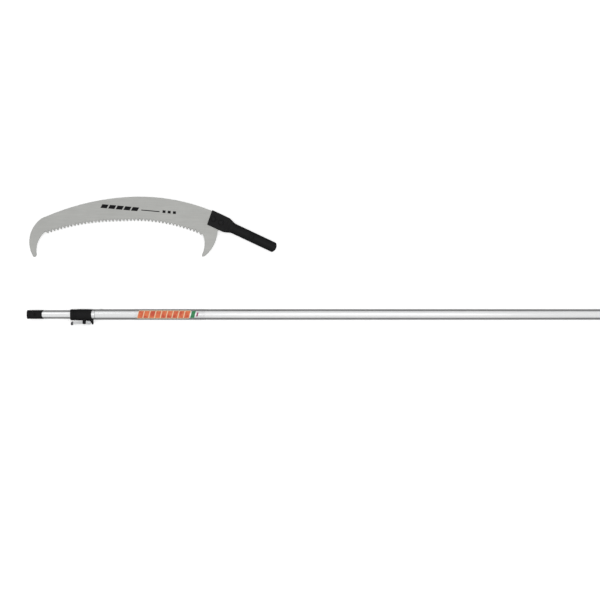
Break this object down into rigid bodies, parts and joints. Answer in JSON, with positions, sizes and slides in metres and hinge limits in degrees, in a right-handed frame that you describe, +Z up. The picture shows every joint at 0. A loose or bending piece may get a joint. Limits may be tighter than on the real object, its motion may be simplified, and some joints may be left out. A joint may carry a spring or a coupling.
{
  "type": "telescoping pole saw",
  "caption": "Telescoping aluminium pole with a lever clamp, and a curved hooked pruning saw head on a flattened tube socket, lying beside it.",
  "frame": {"origin": "on the flat foot of the lock collar, straight below the pole's axis, with the object lying on the floor", "axes": "+X along the pole from its tip to its butt, +Y across the floor towards the loose saw head, +Z up"},
  "size_m": [1.6596, 0.3088, 0.032],
  "materials": {
    "tube_aluminium": "bright drawn aluminium tube",
    "ring_aluminium": "turned bright aluminium",
    "black_plastic": "moulded black plastic",
    "collar_plastic": "moulded black nylon",
    "label_film": "clear printed film with plain orange and green bars",
    "rubber": "soft black rubber",
    "zinc": "zinc plated steel",
    "lever_metal": "bright die-cast lever",
    "grey_plastic": "dark grey plastic",
    "blade_steel": "satin ground saw steel",
    "socket_paint": "black powder coat",
    "black_steel": "blackened steel"
  },
  "bodies": {
    "pole_outer": {"outer_tube": "tube_aluminium", "butt_plug": "black_plastic", "label_band": "label_film", "lock_collar": "collar_plastic", "collar_ring": "ring_aluminium", "wiper_ring": "rubber", "collar_rivet": "zinc", "lever_pin": "zinc"},
    "pole_inner": {"inner_tube": "tube_aluminium", "tip_adapter": "collar_plastic", "adapter_pin": "zinc", "guide_bush": "black_plastic"},
    "lever": {"clamp_lever": "lever_metal", "lever_tip": "grey_plastic"},
    "shoe": {"brake_shoe": "black_plastic", "shoe_lining": "rubber"},
    "head_carrier": {"front_bolt": "black_steel", "front_washer": "black_steel", "front_nut": "black_steel"},
    "saw_head": {"saw_blade": "blade_steel", "blade_socket": "socket_paint", "rear_bolt": "black_steel", "rear_washer": "black_steel", "rear_nut": "black_steel", "lock_nut": "socket_paint", "lock_screw": "black_steel"}
  },
  "joints": [
    {"name": "telescope", "type": "slide", "parent": "pole_outer", "child": "pole_inner", "axis": [-1, 0, 0], "range_m": [0, 1.15]},
    {"name": "lever_swing", "type": "hinge", "parent": "pole_outer", "child": "lever", "pos_m": [0.0182, -0.0197, 0.0127], "axis": [0, 0, 1], "range_deg": [0, 100]},
    {"name": "shoe_slide", "type": "slide", "parent": "pole_outer", "child": "shoe", "axis": [0, -1, 0], "range_m": [0, 0.0008]},
    {"name": "head_carry", "type": "slide", "parent": "pole_outer", "child": "head_carrier", "axis": [-0.9908, -0.1351, 0], "range_m": [0, 1.69494]},
    {"name": "head_turn", "type": "hinge", "parent": "head_carrier", "child": "saw_head", "pos_m": [0.3168, 0.229, 0.0127], "axis": [0, 0, 1], "range_deg": [0, 25.21]}
  ],
  "couplings": [
    {"joint": "shoe_slide", "follows": "lever_swing", "m_per_rad": 0.000458},
    {"joint": "head_turn", "follows": "head_carry", "rad_per_m": 0.25949}
  ]
}
